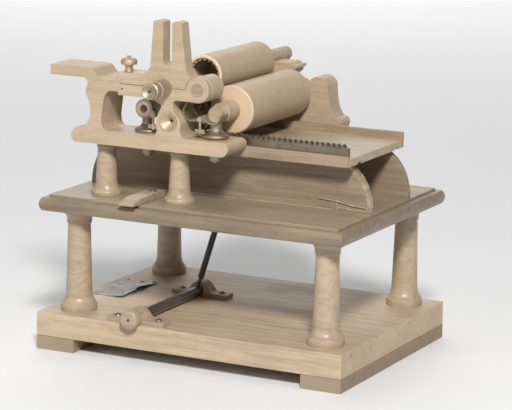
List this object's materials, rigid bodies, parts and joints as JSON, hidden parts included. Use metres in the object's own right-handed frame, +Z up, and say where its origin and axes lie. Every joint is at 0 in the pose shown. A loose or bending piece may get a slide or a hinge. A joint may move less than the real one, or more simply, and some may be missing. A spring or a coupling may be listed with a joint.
{
  "type": "cylinder printing press model",
  "caption": "Wooden bench model of a cylinder printing press: turned columns, sliding bed with rack, geared rollers, forked bearing frame, rocking lever under the table.",
  "frame": {"origin": "centre of the base's footprint, on the floor", "axes": "+X along the bed towards its delivery end, +Y to the rear, +Z up"},
  "size_m": [0.3, 0.2396, 0.3017],
  "materials": {
    "base_wood": "worn satin",
    "cleat_wood": "raw sawn",
    "table_wood": "satin",
    "moulding_wood": "satin",
    "way_wood": "satin",
    "frame_wood": "satin",
    "bar_wood": "satin",
    "dowel_wood": "end grain",
    "column_wood": "turned, satin",
    "bush_metal": "turned",
    "brass": "turned",
    "bearing_metal": "cast and turned",
    "crank_metal": "turned",
    "gear_metal": "cut",
    "steel": "turned",
    "roller_wood": "turned",
    "cylinder_wood": "turned, smooth",
    "journal_wood": "turned",
    "bed_wood": "planed",
    "fascia_wood": "planed",
    "rack_metal": "cut, tarnished",
    "dark_wood": "ebonised",
    "black_steel": "blackened",
    "pillow_wood": "planed",
    "screw_steel": "aged",
    "latch_wood": "planed",
    "tin": "dull, oxidised"
  },
  "bodies": {
    "stand": {"base_board": "base_wood", "base_cleats": "cleat_wood", "base_screws": "screw_steel", "bearing_bush": "brass", "boss_dowel": "dowel_wood", "column_front_left": "column_wood", "column_front_right": "column_wood", "column_rear_left": "column_wood", "column_rear_right": "column_wood", "fork_cap": "bar_wood", "front_frame": "frame_wood", "hinge_pins": "brass", "latch_screw": "screw_steel", "moulding_front": "moulding_wood", "moulding_left": "moulding_wood", "moulding_rear": "moulding_wood", "moulding_right": "moulding_wood", "pedestal_left": "bearing_metal", "pedestal_nuts": "bearing_metal", "pedestal_right": "bearing_metal", "pillow_front": "pillow_wood", "pillow_rear": "pillow_wood", "plate_tacks": "screw_steel", "rear_bar": "bar_wood", "rear_frame": "frame_wood", "roller_bush": "bush_metal", "short_column_front_left": "column_wood", "short_column_front_right": "column_wood", "short_column_rear_left": "column_wood", "short_column_rear_right": "column_wood", "table_panel": "table_wood", "tin_plate": "tin", "top_bar": "bar_wood", "way_front": "way_wood", "way_rear": "way_wood"},
    "bed": {"bed_floor": "bed_wood", "bed_fascia": "fascia_wood", "bed_rear_rim": "fascia_wood", "bed_rack": "rack_metal", "bed_yoke": "gear_metal"},
    "middle": {"middle_shaft": "steel", "middle_roller": "roller_wood", "rack_pinion": "gear_metal", "middle_gear": "gear_metal"},
    "cylinder": {"cylinder_body": "cylinder_wood", "cylinder_shaft": "journal_wood"},
    "upper": {"upper_cylinder": "cylinder_wood", "upper_ring": "gear_metal", "upper_journal": "journal_wood"},
    "crank": {"crank_shaft": "crank_metal", "crank_gear": "gear_metal"},
    "rocker": {"rock_shaft": "dark_wood", "rock_wheel": "bush_metal", "lever_rod": "black_steel"},
    "clamp": {"clamp_screw": "brass"},
    "left_cap": {"bearing_cap_left": "bearing_metal"},
    "right_cap": {"bearing_cap_right": "bearing_metal"},
    "left_bolt": {"swing_bolt_left": "brass"},
    "right_bolt": {"swing_bolt_right": "brass"},
    "latch": {"latch": "latch_wood"}
  },
  "joints": [
    {"name": "bed_slide", "type": "slide", "parent": "stand", "child": "bed", "axis": [1, 0, 0], "range_m": [-0.072, 0]},
    {"name": "middle_spin", "type": "hinge", "parent": "stand", "child": "middle", "pos_m": [-0.029, 0, 0.214], "axis": [0, 1, 0], "range_deg": [-3, 314.5]},
    {"name": "cylinder_spin", "type": "hinge", "parent": "stand", "child": "cylinder", "pos_m": [0.0085, 0, 0.2215], "axis": [0, 1, 0], "range_deg": [-243.1, 3]},
    {"name": "upper_spin", "type": "hinge", "parent": "stand", "child": "upper", "pos_m": [-0.0183, 0, 0.2502], "axis": [0, 1, 0], "range_deg": [-3, 296.6]},
    {"name": "crank_spin", "type": "hinge", "parent": "stand", "child": "crank", "pos_m": [-0.033, -0.09, 0.2434], "axis": [0, 1, 0], "range_deg": [-314.5, 3]},
    {"name": "rock_swing", "type": "hinge", "parent": "stand", "child": "rocker", "pos_m": [-0.0515, 0.007, 0.0398], "axis": [0, 1, 0], "range_deg": [-30.86, 0.6]},
    {"name": "clamp_turn", "type": "hinge", "parent": "stand", "child": "clamp", "pos_m": [-0.072, -0.086, 0.26], "axis": [0, 0, 1], "continuous": true},
    {"name": "left_cap_lift", "type": "hinge", "parent": "stand", "child": "left_cap", "pos_m": [-0.048, -0.075, 0.2175], "axis": [0, 1, 0], "range_deg": [0, 12]},
    {"name": "right_cap_fold", "type": "hinge", "parent": "stand", "child": "right_cap", "pos_m": [-0.0019, -0.075, 0.2175], "axis": [0, 1, 0], "range_deg": [0, 4]},
    {"name": "left_bolt_swing", "type": "hinge", "parent": "stand", "child": "left_bolt", "pos_m": [-0.048, -0.0848, 0.2175], "axis": [0, 1, 0], "range_deg": [-12, 18]},
    {"name": "right_bolt_swing", "type": "hinge", "parent": "stand", "child": "right_bolt", "pos_m": [-0.0019, -0.0848, 0.2175], "axis": [0, 1, 0], "range_deg": [-18, 18]},
    {"name": "latch_turn", "type": "hinge", "parent": "stand", "child": "latch", "pos_m": [-0.056, -0.07, 0.145], "axis": [0, 0, 1], "range_deg": [-25, 25]}
  ],
  "couplings": [
    {"joint": "middle_spin", "follows": "bed_slide", "rad_per_m": -75.519},
    {"joint": "cylinder_spin", "follows": "bed_slide", "rad_per_m": 58.201},
    {"joint": "upper_spin", "follows": "bed_slide", "rad_per_m": -71.172},
    {"joint": "crank_spin", "follows": "bed_slide", "rad_per_m": 75.519},
    {"joint": "rock_swing", "follows": "bed_slide", "rad_per_m": 7.3361}
  ]
}
